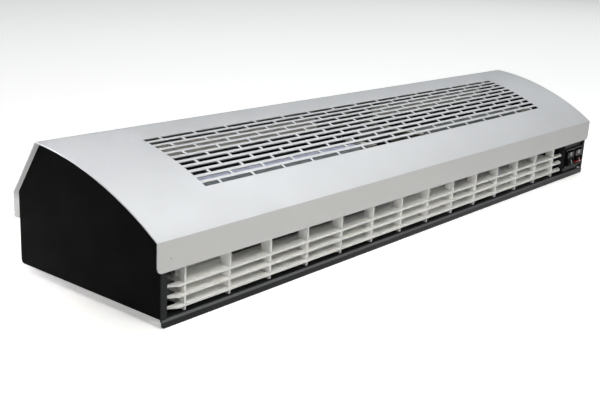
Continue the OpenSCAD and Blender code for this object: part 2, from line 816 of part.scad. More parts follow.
// Panel right of the grille with the two switches.
rocker_gap = 0.5;
panel_left = plate_out - plate_flange - 2 * rocker_w - rocker_gap - 2 * seat_gap;
rocker_x = [
    plate_out - plate_flange - seat_gap - 1.5 * rocker_w - rocker_gap,
    plate_out - plate_flange - seat_gap - 0.5 * rocker_w
];
rocker_hole_w = key_w + 3;
rocker_hole_h = 2 * key_r + 2.4;
panel_t = 1.2;
panel_side = 24;
panel_top_h = lip_rivet_h - rivet_tail_r - 3 * seat_gap;
module switch_panel() {
    x0 = panel_left;
    x1 = plate_in - seat_gap;
    g = seat_gap;
    color("#1a1a1b")
    difference() {
        union() {
            translate([x0, ys(panel_set), zs(floor_top + plate_t + 2 * g)])
                cube([x1 - x0, panel_t, panel_top_h - floor_top - plate_t - 2 * g]);
            translate([x0, ys(panel_set), zs(panel_top_h - panel_t)]) cube([x1 - x0, panel_side, panel_t]);
            translate([x0, ys(panel_set), zs(floor_top + plate_t + 2 * g)])
                cube([panel_t, panel_side, panel_top_h - floor_top - plate_t - 2 * g]);
        }
        for (x = rocker_x)
            translate([x - rocker_hole_w / 2 - g, ys(panel_set - 1), zs(rocker_mid_h - rocker_hole_h / 2 - g)])
                cube([rocker_hole_w + 2 * g, 4, rocker_hole_h + 2 * g]);
    }
}

// Switch frame: rim in front of the panel and an open box behind it.
rim_t = 2;
key_clear = 0.35;
key_pivot_set = panel_set + 2.2;
key_pin_r = 1.5;
module rocker_frame(i) {
    w = rocker_hole_w;
    h = rocker_hole_h;
    body = 20;
    tag = [0.8, 8, 6];
    color("#101011")
    translate([rocker_x[i], ys(panel_set - seat_gap), zs(rocker_mid_h)])
    difference() {
        union() {
            translate([-rocker_w / 2, -rim_t, -rocker_h / 2]) cube([rocker_w, rim_t, rocker_h]);
            translate([-w / 2, -eps, -h / 2]) cube([w, body, h]);
            for (x = [-tag[2], tag[2]]) translate([x - tag[0] / 2, body - 1, -tag[2] / 2]) cube(tag);
        }
        translate([-key_w / 2 - key_clear, -rim_t - 1, -key_r - key_clear])
            cube([key_w + 2 * key_clear, body, 2 * (key_r + key_clear)]);
        translate([-w / 2 - 1, key_pivot_set - panel_set + seat_gap, 0]) rotate([0, 90, 0])
            cylinder(r = key_pin_r + run_gap, h = w + 2);
    }
}
module rocker_frame_1() rocker_frame(0);
module rocker_frame_2() rocker_frame(1);

// Key: a round-ended body about its pivot with a shallow valley across its face.
module rocker_key(i) {
    face = 8.2;
    valley = 1.8;
    color(i == 0 ? "#0b0b0c" : "#7d1f22")
    translate([rocker_x[i], ys(key_pivot_set), zs(rocker_mid_h)])
    rotate([-key_swing / 2, 0, 0]) {
        translate([-key_w / 2, 0, 0]) rotate([90, 0, 90]) linear_extrude(key_w)
        intersection() {
            circle(key_r);
            polygon([[valley - face, 0], [-face, key_r], [3, key_r], [5, 4], [5, -4], [3, -key_r], [-face, -key_r]]);
        }
        translate([-rocker_hole_w / 2, 0, 0]) rotate([0, 90, 0]) cylinder(r = key_pin_r, h = rocker_hole_w);
    }
}
module rocker_key_1() rocker_key(0);
module rocker_key_2() rocker_key(1);

// Screw terminals for the supply, behind the switch panel.
module terminal_block() {
    poles = 5;
    pitch = 11;
    w = 18;
    h = 16;
    wire_h = 6;
    wire_r = 2;
    well_r = 2.6;
    groove = [w + 2, 1, h];
    color("#e3e1d8")
    translate([plate_out - foot_w - 1 - w, ys(block_set), zs(floor_top + seat_gap)])
    difference() {
        cube([w, poles * pitch, h]);
        for (k = [0 : poles - 1]) translate([0, k * pitch, 0]) {
            translate([w / 2, pitch / 2, wire_h]) cylinder(r = well_r, h = h);
            translate([-1, pitch / 2, wire_h]) rotate([0, 90, 0]) cylinder(r = wire_r, h = w + 2);
            if (k > 0) translate([-1, -groove[1] / 2, h - wire_h]) cube(groove);
        }
    }
}
block_set = 70;

// Rubber gland for the supply cable in the right end plate.
gland_set = 156;
gland_h = 26;
gland_neck_r = 8;
gland_bore_r = 4.5;
gland_lip = 3;
gland_lip_t = 4;
module cable_gland() {
    g = seat_gap / 3;
    l = plate_t + 2 * gland_lip_t;
    color("#18181a")
    translate([plate_in - gland_lip_t, ys(gland_set), zs(gland_h)]) rotate([0, 90, 0])
    difference() {
        union() {
            cylinder(r = gland_neck_r - g, h = l);
            cylinder(r = gland_neck_r + gland_lip, h = gland_lip_t - g);
            translate([0, 0, l - gland_lip_t + g])
                cylinder(r1 = gland_neck_r + gland_lip, r2 = gland_neck_r, h = gland_lip_t);
        }
        translate([0, 0, -1]) cylinder(r = gland_bore_r, h = l + 2);
    }
}

cover();
base_tray();
wall_rail();
end_plate_left();
end_plate_right();
outlet_grille();
blanking_plates();
end_baffle();
fan_cheek_1();
fan_cheek_2();
fan_cheek_3();
fan_cheek_4();
scroll_left();
scroll_right();
stabiliser_left();
stabiliser_right();
fan_wheel_left();
fan_wheel_right();
drive_hubs();
stub_shafts();
motor_shaft();
motor_rotor();
motor_stator();
motor_casing();
motor_bracket();
motor_bearings();
end_bearings();
bearing_mounts();
run_capacitor();
heater_left();
heater_right();
thermal_cutout();
switch_panel();
rocker_frame_1();
rocker_frame_2();
rocker_key_1();
rocker_key_2();
terminal_block();
cable_gland();
lip_rivets();
foot_screws();
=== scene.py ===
"""Air curtain lying on its wall side in a pale studio.

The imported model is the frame. This file dresses its pieces, lowers the grille
to where the photograph shows it, adds the marks on the keys and a rubber strip,
and sets the light and the camera. Lengths are in metres unless a name ends in
_mm. In the frame x runs along the machine, y towards its rear and z up.
"""

from __future__ import annotations

import json
import logging
import math
from dataclasses import dataclass
from enum import Enum
from typing import Any

import bpy
import numpy as np
from mathutils import Matrix, Vector

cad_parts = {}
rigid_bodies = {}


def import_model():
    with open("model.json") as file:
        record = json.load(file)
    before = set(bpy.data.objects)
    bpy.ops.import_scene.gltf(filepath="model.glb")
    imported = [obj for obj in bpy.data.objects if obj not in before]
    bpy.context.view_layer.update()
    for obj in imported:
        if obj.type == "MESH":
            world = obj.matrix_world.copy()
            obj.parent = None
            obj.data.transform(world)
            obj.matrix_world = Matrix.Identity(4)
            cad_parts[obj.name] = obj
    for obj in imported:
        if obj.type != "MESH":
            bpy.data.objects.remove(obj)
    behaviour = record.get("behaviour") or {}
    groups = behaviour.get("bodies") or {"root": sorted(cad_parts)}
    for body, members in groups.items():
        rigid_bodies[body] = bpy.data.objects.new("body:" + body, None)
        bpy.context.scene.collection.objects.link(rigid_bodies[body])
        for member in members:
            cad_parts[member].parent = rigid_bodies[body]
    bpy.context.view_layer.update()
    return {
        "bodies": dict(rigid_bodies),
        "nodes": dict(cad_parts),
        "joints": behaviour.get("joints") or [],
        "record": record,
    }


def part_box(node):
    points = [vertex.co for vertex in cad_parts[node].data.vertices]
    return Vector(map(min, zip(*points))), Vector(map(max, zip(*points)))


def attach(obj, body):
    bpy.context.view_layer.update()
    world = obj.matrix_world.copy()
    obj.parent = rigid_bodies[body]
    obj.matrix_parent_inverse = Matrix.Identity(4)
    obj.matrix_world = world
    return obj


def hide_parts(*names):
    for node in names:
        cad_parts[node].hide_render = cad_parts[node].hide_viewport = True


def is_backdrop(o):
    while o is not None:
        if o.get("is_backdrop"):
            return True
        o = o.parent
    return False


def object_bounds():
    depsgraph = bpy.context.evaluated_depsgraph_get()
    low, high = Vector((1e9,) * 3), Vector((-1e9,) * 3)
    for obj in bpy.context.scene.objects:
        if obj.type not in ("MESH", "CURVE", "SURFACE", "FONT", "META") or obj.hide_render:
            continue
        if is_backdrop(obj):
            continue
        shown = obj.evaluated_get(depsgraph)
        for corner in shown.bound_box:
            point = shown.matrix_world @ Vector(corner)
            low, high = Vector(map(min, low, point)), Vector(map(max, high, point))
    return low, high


LOG = logging.getLogger("air_curtain")
MM = 0.001

Tree = bpy.types.NodeTree
Socket = bpy.types.NodeSocket
Triple = tuple[float, float, float]
Outline = list[tuple[float, float]]
Faces = list[tuple[int, ...]]


class Slot(Enum):
    """Material slots of the record that new pieces stand for."""

    PALE_PLASTIC = "pale_plastic"
    GRILLE_PLASTIC = "grille_plastic"
    RUBBER = "rubber"


class Body(Enum):
    """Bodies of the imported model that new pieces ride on."""

    CHASSIS = "chassis"
    VENT_KEY = "vent_key"
    HEAT_KEY = "heat_key"


class Axis(Enum):
    """Axes of the frame."""

    X = 0
    Y = 1
    Z = 2


def linear(code: str) -> tuple[float, float, float, float]:
    """Turns an sRGB hex colour into linear RGBA.

    Args:
        code: colour such as "#E0E4E7".

    Returns:
        Linear red, green, blue and an alpha of 1.
    """
    parts = [int(code[i : i + 2], 16) / 255 for i in (1, 3, 5)]
    # The curve of the sRGB standard: straight near black, a power above that.
    red, green, blue = (
        c / 12.92 if c <= 0.04045 else ((c + 0.055) / 1.055) ** 2.4 for c in parts
    )
    return (red, green, blue, 1.0)


def add(
    tree: Tree,
    kind: str,
    inputs: dict[str | int, Any] | None = None,
    **settings: Any,
) -> bpy.types.Node:
    """Adds one shader node with its settings, values and links.

    Args:
        tree: node tree of the material.
        kind: node type without its "ShaderNode" beginning.
        inputs: a value, or the socket to link from, for each named input.
        settings: attributes of the node itself.

    Returns:
        The new node.
    """
    made = tree.nodes.new("ShaderNode" + kind)
    for name, value in settings.items():
        setattr(made, name, value)
    for key, value in (inputs or {}).items():
        if isinstance(value, Socket):
            tree.links.new(value, made.inputs[key])
        else:
            made.inputs[key].default_value = value
    return made


# ---------------------------------------------------------------- finishes

# Octaves of the noise in soft patches and in fine grain.
PATCH_DETAIL = 3.0
GRAIN_DETAIL = 2.0
# Noise values between which a patch grows from nothing to full.
PATCH_RANGE = (0.3, 0.7)
# Rays that feel for an edge, so that it looks rounded in the light.
BEVEL_RAYS = 4


@dataclass(frozen=True)
class Finish:
    """What a surface is made of and how it was made."""

    name: str

    def material(self) -> bpy.types.Material:
        """Builds the material once and returns it after that.

        Returns:
            The material.
        """
        found = bpy.data.materials.get(self.name)
        if found:
            return found
        made = bpy.data.materials.new(self.name)
        made.use_nodes = True
        tree = made.node_tree
        tree.nodes.clear()
        place = add(tree, "TexCoord").outputs["Object"]
        shader = add(tree, "BsdfPrincipled", self.shade(tree, place))
        add(tree, "OutputMaterial", {"Surface": shader.outputs[0]})
        return made

    def shade(self, tree: Tree, place: Socket) -> dict[str | int, Any]:
        """Builds the finish's own nodes.

        Args:
            tree: node tree of the material.
            place: position on the object, in metres.

        Returns:
            A value, or the socket to link from, for inputs of the shader.
        """
        raise NotImplementedError

    def patches(self, tree: Tree, place: Socket, size_mm: float) -> Socket:
        """Spreads soft irregular patches, as a share from 0 to 1.

        Args:
            tree: node tree of the material.
            place: position on the object, in metres.
            size_mm: width of a patch.

        Returns:
            The share's socket.
        """
        noise = add(
            tree,
            "TexNoise",
            {"Vector": place, "Scale": 1 / (size_mm * MM), "Detail": PATCH_DETAIL},
        ).outputs[0]
        start, full = PATCH_RANGE
        return add(
            tree, "MapRange", {"Value": noise, "From Min": start, "From Max": full}
        ).outputs[0]

    def facing(self, tree: Tree, axis: Axis, start: float, full: float) -> Socket:
        """Finds the sides that face one way, as a share from 0 to 1.

        Args:
            tree: node tree of the material.
            axis: the axis that they face along.
            start: part of a side's direction along it where the share begins.
            full: part of it where the share is 1.

        Returns:
            The share's socket.
        """
        out = add(tree, "NewGeometry").outputs["True Normal"]
        part = add(tree, "SeparateXYZ", {0: out}).outputs[axis.value]
        return add(
            tree, "MapRange", {"Value": part, "From Min": start, "From Max": full}
        ).outputs[0]

    def past(
        self, tree: Tree, place: Socket, axis: Axis, full_mm: float, fade_mm: float
    ) -> Socket:
        """Finds what lies past a plane across an axis, as a share from 0 to 1.

        Args:
            tree: node tree of the material.
            place: position on the object, in metres.
            axis: the axis that the plane lies across.
            full_mm: place of the plane, where the share is 1.
            fade_mm: where the share begins, counted along the axis from there.

        Returns:
            The share's socket.
        """
        part = add(tree, "SeparateXYZ", {0: place}).outputs[axis.value]
        return add(
            tree,
            "MapRange",
            {
                "Value": part,
                "From Min": (full_mm + fade_mm) * MM,
                "From Max": full_mm * MM,
            },
        ).outputs[0]

    def tint(self, tree: Tree, base: str, *layers: tuple[Socket, str]) -> Socket:
        """Lays colours over a base colour, each as far as its share says.

        Args:
            tree: node tree of the material.
            base: the colour below.
            layers: share and colour of each layer, from the lowest up.

        Returns:
            The final colour's socket.
        """
        tone: Any = linear(base)
        for share, color in layers:
            tone = add(
                tree,
                "Mix",
                {0: share, 6: tone, 7: linear(color)},
                data_type="RGBA",
            ).outputs[2]
        return tone


@dataclass(frozen=True)
class PowderCoat(Finish):
    """Polyester powder baked on sheet steel.

    It shows an even colour, orange peel and softened edges.
    """

    color: str
    shade_color: str
    roughness: tuple[float, float]
    specular: float
    # The tone drifts over a hand's width and the gloss over a thumb's.
    cloud_mm: float = 70.0
    smear_mm: float = 22.0
    # 1.4 mm is the real spacing of orange peel on a satin coat.
    peel_mm: float = 1.4
    peel_depth_mm: float = 0.012
    edge_mm: float = 0.35
    # Colours of places, matched to the photograph: paler cut edges, which are partly a
    # painted highlight, and painted shade and painted light on the others. One left empty
    # isn't laid.
    edge_color: str = "#FFFFFF"
    edge_share: float = 0.0
    under_shade_color: str = ""
    inside_shade_color: str = ""
    inside_half_mm: float = 0.0
    front_shade_color: str = ""
    bend_highlight_color: str = ""
    lit_rim_color: str = ""
    rim_y_mm: float = 0.0
    # Where those places begin and where they are full: the cosine of the turn
    # at an edge, parts of a side's direction, and for the bend their product.
    edge_turn: tuple[float, float] = (0.97, 0.8)
    under_turn: tuple[float, float] = (-0.02, -0.1)
    front_turn: tuple[float, float] = (-0.55, -0.95)
    bend_turn: tuple[float, float] = (-0.12, -0.42)
    inside_fade_mm: float = 2.0
    rim_fade_mm: float = 0.4

    def shade(self, tree: Tree, place: Socket) -> dict[str | int, Any]:
        """Mixes two close tones in clouds, dimples the coat and rounds its edges.

        Args:
            tree: node tree of the material.
            place: position on the object, in metres.

        Returns:
            A value, or the socket to link from, for inputs of the shader.
        """
        clouds = self.patches(tree, place, self.cloud_mm)
        smear = self.patches(tree, place, self.smear_mm)
        low, high = self.roughness
        rough = add(tree, "MapRange", {"Value": smear, "To Min": low, "To Max": high})
        peel = add(
            tree,
            "TexNoise",
            {"Vector": place, "Scale": 1 / (self.peel_mm * MM), "Detail": GRAIN_DETAIL},
        )
        rounded = add(
            tree, "Bevel", {"Radius": self.edge_mm * MM}, samples=BEVEL_RAYS
        ).outputs[0]
        bump = add(
            tree,
            "Bump",
            {
                "Height": peel.outputs[0],
                "Distance": self.peel_depth_mm * MM,
                "Normal": rounded,
            },
        )
        thin_edges_and_painted_light = self.thin_edges_and_painted_light(tree, place, rounded)
        return {
            "Base Color": self.tint(
                tree, self.color, (clouds, self.shade_color), *thin_edges_and_painted_light
            ),
            "Roughness": rough.outputs[0],
            "Normal": bump.outputs[0],
            "Specular IOR Level": self.specular,
        }

    def thin_edges_and_painted_light(
        self, tree: Tree, place: Socket, rounded: Socket
    ) -> list[tuple[Socket, str]]:
        """Lists the colours that lie over the plain coat: thin powder and a painted
        highlight on the edges, and painted shade and light.

        Args:
            tree: node tree of the material.
            place: position on the object, in metres.
            rounded: direction of the surface with its edges rounded.

        Returns:
            Share and colour of each, from the lowest up.
        """
        layers: list[tuple[Socket, str]] = []
        if self.edge_share:
            layers.append((self.cut_edges(tree, rounded), self.edge_color))
        if self.under_shade_color:
            # Painted shade: the side of the sheet that looks down is painted greyer than
            # its outside.
            under = self.facing(tree, Axis.Z, *self.under_turn)
            layers.append((under, self.under_shade_color))
            if self.inside_shade_color:
                # Between the end plates that side gets darker painted shade still.
                inside = self.between_ends(tree, place, under)
                layers.append((inside, self.inside_shade_color))
        if self.front_shade_color:
            # Painted shade: the front face is painted a little darker than the top.
            front = self.facing(tree, Axis.Y, *self.front_turn)
            layers.append((front, self.front_shade_color))
        if self.bend_highlight_color:
            # Painted highlight: the outside of the front bend is painted paler.
            layers.append((self.front_bend(tree), self.bend_highlight_color))
        if self.lit_rim_color:
            # Painted light: the turned-in front edge is painted paler too.
            rim = self.past(tree, place, Axis.Y, self.rim_y_mm, self.rim_fade_mm)
            layers.append((rim, self.lit_rim_color))
        return layers

    def cut_edges(self, tree: Tree, rounded: Socket) -> Socket:
        """Finds the cut edges, where powder thins and more light is caught; their paler
        colour is partly a painted highlight.

        Args:
            tree: node tree of the material.
            rounded: direction of the surface with its edges rounded.

        Returns:
            The socket of the share, which reaches edge_share.
        """
        flat = add(tree, "NewGeometry").outputs["Normal"]
        turn = add(
            tree, "VectorMath", {0: flat, 1: rounded}, operation="DOT_PRODUCT"
        ).outputs["Value"]
        start, full = self.edge_turn
        return add(
            tree,
            "MapRange",
            {
                "Value": turn,
                "From Min": start,
                "From Max": full,
                "To Max": self.edge_share,
            },
        ).outputs[0]

    def between_ends(self, tree: Tree, place: Socket, under: Socket) -> Socket:
        """Keeps a share only within inside_half_mm of the middle.

        Args:
            tree: node tree of the material.
            place: position on the object, in metres.
            under: the share to keep.

        Returns:
            The kept share's socket.
        """
        mirrored = add(tree, "VectorMath", {0: place}, operation="ABSOLUTE")
        inside = self.past(
            tree, mirrored.outputs[0], Axis.X, self.inside_half_mm, self.inside_fade_mm
        )
        return add(
            tree, "Math", {0: under, 1: inside}, operation="MULTIPLY"
        ).outputs[0]

    def front_bend(self, tree: Tree) -> Socket:
        """Finds the bends that face forward and up or rearward and down.

        Args:
            tree: node tree of the material.

        Returns:
            The share's socket.
        """
        out = add(tree, "NewGeometry").outputs["True Normal"]
        parts = add(tree, "SeparateXYZ", {0: out}).outputs
        slant = add(
            tree, "Math", {0: parts["Y"], 1: parts["Z"]}, operation="MULTIPLY"
        ).outputs[0]
        start, full = self.bend_turn
        return add(
            tree, "MapRange", {"Value": slant, "From Min": start, "From Max": full}
        ).outputs[0]


@dataclass(frozen=True)
class MouldedPlastic(Finish):
    """Injection moulded thermoplastic.

    It shows faint flow clouds, fine spark grain and soft edges.
    """

    color: str
    shade_color: str
    roughness: tuple[float, float]
    specular: float = 0.5
    # Flow clouds are 12 mm wide and four times as long.
    flow_mm: float = 12.0
    flow_stretch: float = 0.25
    # Spark grain is about 0.1 mm; 0.8 mm is as coarse as it needs to show.
    grain_mm: float = 0.8
    grain_depth_mm: float = 0.006
    edge_mm: float = 0.4
    # Light that enters, how deep it goes and how far each of its colours gets.
    see_in: float = 0.0
    see_in_mm: float = 2.0
    see_in_reach: Triple = (1.0, 0.9, 0.7)
    # Colour of the painted shade on the sides that face the room, and where it begins and
    # is full.
    front_shade_color: str = ""
    front_turn: tuple[float, float] = (-0.5, -0.9)

    def shade(self, tree: Tree, place: Socket) -> dict[str | int, Any]:
        """Mixes the flow clouds and sets the grain and the depth that light reaches.

        Args:
            tree: node tree of the material.
            place: position on the object, in metres.

        Returns:
            A value, or the socket to link from, for inputs of the shader.
        """
        stretched = add(
            tree, "Mapping", {"Vector": place, "Scale": (self.flow_stretch, 1.0, 1.0)}
        ).outputs[0]
        flow = self.patches(tree, stretched, self.flow_mm)
        layers = [(flow, self.shade_color)]
        if self.front_shade_color:
            # Painted shade: the edges that face the room are painted darker.
            front = self.facing(tree, Axis.Y, *self.front_turn)
            layers.append((front, self.front_shade_color))
        low, high = self.roughness
        rough = add(tree, "MapRange", {"Value": flow, "To Min": low, "To Max": high})
        grain = add(
            tree,
            "TexNoise",
            {
                "Vector": place,
                "Scale": 1 / (self.grain_mm * MM),
                "Detail": GRAIN_DETAIL,
            },
        )
        rounded = add(tree, "Bevel", {"Radius": self.edge_mm * MM}, samples=BEVEL_RAYS)
        bump = add(
            tree,
            "Bump",
            {
                "Height": grain.outputs[0],
                "Distance": self.grain_depth_mm * MM,
                "Normal": rounded.outputs[0],
            },
        )
        return {
            "Base Color": self.tint(tree, self.color, *layers),
            "Roughness": rough.outputs[0],
            "Normal": bump.outputs[0],
            "Specular IOR Level": self.specular,
            "Subsurface Weight": self.see_in,
            "Subsurface Radius": self.see_in_reach,
            "Subsurface Scale": self.see_in_mm * MM,
        }


@dataclass(frozen=True)
class ZincSheet(Finish):
    """Hot-dip galvanised steel: crystal spangles with their own tone and gloss."""

    color: str
    shade_color: str
    roughness: tuple[float, float] = (0.32, 0.52)
    metal: float = 0.55
    # Minimised spangle is 5 to 8 mm across.
    spangle_mm: float = 7.0
    # Rolling lines run along the sheet, 0.6 mm apart and fifty times as long.
    line_mm: float = 0.6
    line_depth_mm: float = 0.004
    line_stretch: float = 0.02
    # Colour of the painted shade on the sheet in front of a place, matched to the
    # photograph.
    painted_shade_color: str = ""
    painted_shade_y_mm: float = 0.0
    painted_shade_fade_mm: float = 3.0

    def shade(self, tree: Tree, place: Socket) -> dict[str | int, Any]:
        """Gives each spangle a tone and a gloss and adds the rolling lines.

        Args:
            tree: node tree of the material.
            place: position on the object, in metres.

        Returns:
            A value, or the socket to link from, for inputs of the shader.
        """
        cells = add(
            tree, "TexVoronoi", {"Vector": place, "Scale": 1 / (self.spangle_mm * MM)}
        ).outputs["Color"]
        pick = add(tree, "SeparateColor", {"Color": cells}).outputs[0]
        layers = [(pick, self.shade_color)]
        if self.painted_shade_color:
            # Painted shade on the sheet in front of that place.
            painted_shade = self.past(tree, place, Axis.Y, self.painted_shade_y_mm, self.painted_shade_fade_mm)
            layers.append((painted_shade, self.painted_shade_color))
        low, high = self.roughness
        rough = add(tree, "MapRange", {"Value": pick, "To Min": low, "To Max": high})
        stretched = add(
            tree, "Mapping", {"Vector": place, "Scale": (self.line_stretch, 1.0, 1.0)}
        ).outputs[0]
        lines = add(
            tree, "TexNoise", {"Vector": stretched, "Scale": 1 / (self.line_mm * MM)}
        ).outputs[0]
        bump = add(tree, "Bump", {"Height": lines, "Distance": self.line_depth_mm * MM})
        return {
            "Base Color": self.tint(tree, self.color, *layers),
            "Roughness": rough.outputs[0],
            "Normal": bump.outputs[0],
            "Metallic": self.metal,
        }


@dataclass(frozen=True)
class TurnedMetal(Finish):
    """Turned, ground or rolled metal: fine parallel marks round or along one axis."""

    color: str
    shade_color: str
    roughness: tuple[float, float]
    marks: Axis = Axis.X
    # Tool marks are 0.05 mm apart; 0.5 mm is as coarse as they need to show.
    mark_mm: float = 0.5
    mark_depth_mm: float = 0.004
    mark_detail: float = 4.0
    # Across the other two axes the marks are about thirty times as long.
    mark_stretch: float = 0.03
    stain_mm: float = 9.0

    def shade(self, tree: Tree, place: Socket) -> dict[str | int, Any]:
        """Squeezes noise across the marks and stains the metal lightly.

        Args:
            tree: node tree of the material.
            place: position on the object, in metres.

        Returns:
            A value, or the socket to link from, for inputs of the shader.
        """
        scale = [self.mark_stretch] * 3
        scale[self.marks.value] = 1.0
        squeezed = add(
            tree, "Mapping", {"Vector": place, "Scale": tuple(scale)}
        ).outputs[0]
        marks = add(
            tree,
            "TexNoise",
            {
                "Vector": squeezed,
                "Scale": 1 / (self.mark_mm * MM),
                "Detail": self.mark_detail,
            },
        ).outputs[0]
        stain = self.patches(tree, place, self.stain_mm)
        low, high = self.roughness
        rough = add(tree, "MapRange", {"Value": marks, "To Min": low, "To Max": high})
        bump = add(tree, "Bump", {"Height": marks, "Distance": self.mark_depth_mm * MM})
        return {
            "Base Color": self.tint(tree, self.color, (stain, self.shade_color)),
            "Roughness": rough.outputs[0],
            "Normal": bump.outputs[0],
            "Metallic": 1.0,
        }


@dataclass(frozen=True)
class CastMetal(Finish):
    """Die-cast or sintered metal: grainy skin with dark pores."""

    color: str
    pore_color: str
    roughness: float
    grain_mm: float = 1.2
    grain_detail: float = 5.0
    depth_mm: float = 0.03
    # Noise values at the floor of a pore and at its rim.
    pore_range: tuple[float, float] = (0.38, 0.52)

    def shade(self, tree: Tree, place: Socket) -> dict[str | int, Any]:
        """Pits the skin and darkens the pores.

        Args:
            tree: node tree of the material.
            place: position on the object, in metres.

        Returns:
            A value, or the socket to link from, for inputs of the shader.
        """
        grain = add(
            tree,
            "TexNoise",
            {
                "Vector": place,
                "Scale": 1 / (self.grain_mm * MM),
                "Detail": self.grain_detail,
            },
        ).outputs[0]
        floor, rim = self.pore_range
        skin = add(
            tree, "MapRange", {"Value": grain, "From Min": floor, "From Max": rim}
        ).outputs[0]
        bump = add(tree, "Bump", {"Height": grain, "Distance": self.depth_mm * MM})
        return {
            "Base Color": self.tint(tree, self.pore_color, (skin, self.color)),
            "Roughness": self.roughness,
            "Normal": bump.outputs[0],
            "Metallic": 1.0,
        }


@dataclass(frozen=True)
class Winding(Finish):
    """Enamelled copper wire laid turn on turn: rows of round glossy wires."""

    color: str
    gap_shade_color: str
    wire_mm: float = 1.1
    depth_mm: float = 0.3
    stray: float = 1.5
    roughness: float = 0.28
    # A wave texture of scale 1 has about this many bands to a metre.
    bands_to_metre: float = 3.1

    def shade(self, tree: Tree, place: Socket) -> dict[str | int, Any]:
        """Draws the wires as bands along the length, with painted shade in the gaps.

        Args:
            tree: node tree of the material.
            place: position on the object, in metres.

        Returns:
            A value, or the socket to link from, for inputs of the shader.
        """
        bands = add(
            tree,
            "TexWave",
            {
                "Vector": place,
                "Scale": 1 / (self.wire_mm * MM) / self.bands_to_metre,
                "Distortion": self.stray,
            },
            bands_direction="Y",
        ).outputs[1]
        bump = add(tree, "Bump", {"Height": bands, "Distance": self.depth_mm * MM})
        return {
            # Painted shade in the gaps between the wires.
            "Base Color": self.tint(tree, self.gap_shade_color, (bands, self.color)),
            "Roughness": self.roughness,
            "Normal": bump.outputs[0],
            "Metallic": 1.0,
        }


@dataclass(frozen=True)
class TintedSteel(Finish):
    """Stainless tube tinted by its own heat: straw and brown zones along it."""

    color: str
    hot_color: str
    roughness: tuple[float, float] = (0.3, 0.48)
    zone_mm: float = 45.0

    def shade(self, tree: Tree, place: Socket) -> dict[str | int, Any]:
        """Drifts between the two tints along the tube.

        Args:
            tree: node tree of the material.
            place: position on the object, in metres.

        Returns:
            A value, or the socket to link from, for inputs of the shader.
        """
        zone = self.patches(tree, place, self.zone_mm)
        low, high = self.roughness
        rough = add(tree, "MapRange", {"Value": zone, "To Min": low, "To Max": high})
        return {
            "Base Color": self.tint(tree, self.color, (zone, self.hot_color)),
            "Roughness": rough.outputs[0],
            "Metallic": 1.0,
        }


@dataclass(frozen=True)
class LampPlastic(Finish):
    """Polished tinted polycarbonate: nearly black above a height, red below it, where the
    red is a painted glint.
    """

    color: str
    deep_color: str
    # Height above which the key is nearly black; the red below it is a painted glint.
    glint_top_mm: float
    fade_mm: float = 3.0
    swirl_mm: float = 6.0
    edge_mm: float = 0.5
    roughness: float = 0.2
    # Polycarbonate's own. Its mirror sheen is held back to match the photograph.
    ior: float = 1.58
    specular: float = 0.08
    through: float = 0.12

    def shade(self, tree: Tree, place: Socket) -> dict[str | int, Any]:
        """Goes from the red of the painted glint to the deep colour above its height.

        Args:
            tree: node tree of the material.
            place: position on the object, in metres.

        Returns:
            A value, or the socket to link from, for inputs of the shader.
        """
        # Painted glint: red below that height, the deep colour above it.
        above_glint = self.past(tree, place, Axis.Z, self.glint_top_mm, -self.fade_mm)
        swirl = self.patches(tree, place, self.swirl_mm)
        depth = add(
            tree, "Math", {0: above_glint, 1: swirl}, operation="MAXIMUM"
        ).outputs[0]
        rounded = add(tree, "Bevel", {"Radius": self.edge_mm * MM}, samples=BEVEL_RAYS)
        return {
            "Base Color": self.tint(tree, self.color, (depth, self.deep_color)),
            "Roughness": self.roughness,
            "Normal": rounded.outputs[0],
            "IOR": self.ior,
            "Specular IOR Level": self.specular,
            "Transmission Weight": self.through,
        }


# Polyester powder coat on steel, satin light grey: broad soft highlights.
WHITE_COAT = PowderCoat(
    "powder_coat_light_grey",
    "#C7C9CC",
    "#C3C5C8",
    (0.36, 0.46),
    0.5,
    # It has painted shade on the side of the sheet that looks down, darker between the end
    # plates, and on its front face.
    under_shade_color="#8C8E8C",
    inside_shade_color="#333434",
    inside_half_mm=392.0,
    front_shade_color="#B0B0AF",
)
# The same coat, whiter, on the closing plates: both sides alike.
PLATE_COAT = PowderCoat(
    "powder_coat_white_plates", "#EFEEEA", "#E9E8E4", (0.4, 0.5), 0.4
)
# Polyester powder coat on steel, black: almost no reflection on the flat.
BLACK_COAT = PowderCoat(
    "powder_coat_black",
    "#010101",
    "#040404",
    (0.5, 0.62),
    0.03,
    # Its paler edges are partly a painted highlight, and its turned-in front rim is
    # painted light.
    edge_color="#6A6C6E",
    edge_share=0.25,
    lit_rim_color="#2B2C2D",
    rim_y_mm=-92.3,
)
# The same coat on the tray: a little paler and glossier. Its paler edges are partly a
# painted highlight, and its front bend is a painted highlight.
TRAY_COAT = PowderCoat(
    "powder_coat_tray_black",
    "#101112",
    "#18191A",
    (0.3, 0.42),
    0.14,
    edge_color="#A9ABAC",
    edge_share=0.5,
    bend_highlight_color="#5E6062",
)
# Polyester powder coat on steel, graphite, of the baffle: grey beside the black.
BAFFLE_COAT = PowderCoat(
    "powder_coat_graphite", "#5A5B5D", "#626365", (0.4, 0.55), 0.35
)
# Polyester powder coat on steel, dark grey, of the switch panel: matt.
PANEL_COAT = PowderCoat(
    "powder_coat_dark_grey", "#1E1F20", "#262728", (0.4, 0.55), 0.15
)
# Polystyrene, injection moulded, off-white: soft and slightly deep.
GRILLE_PLASTIC = MouldedPlastic(
    "moulded_polystyrene_white",
    "#F4F4F2",
    "#EDEDEA",
    (0.34, 0.46),
    see_in=0.12,
    # Its faces towards the room are painted darker as painted shade.
    front_shade_color="#CDCDCB",
)
# Polyamide, injection moulded, polished black: small dim highlights.
SWITCH_BLACK = MouldedPlastic(
    "moulded_polyamide_black",
    "#070708",
    "#0E0E0F",
    (0.2, 0.3),
    0.07,
    grain_depth_mm=0.001,
    edge_mm=0.5,
)
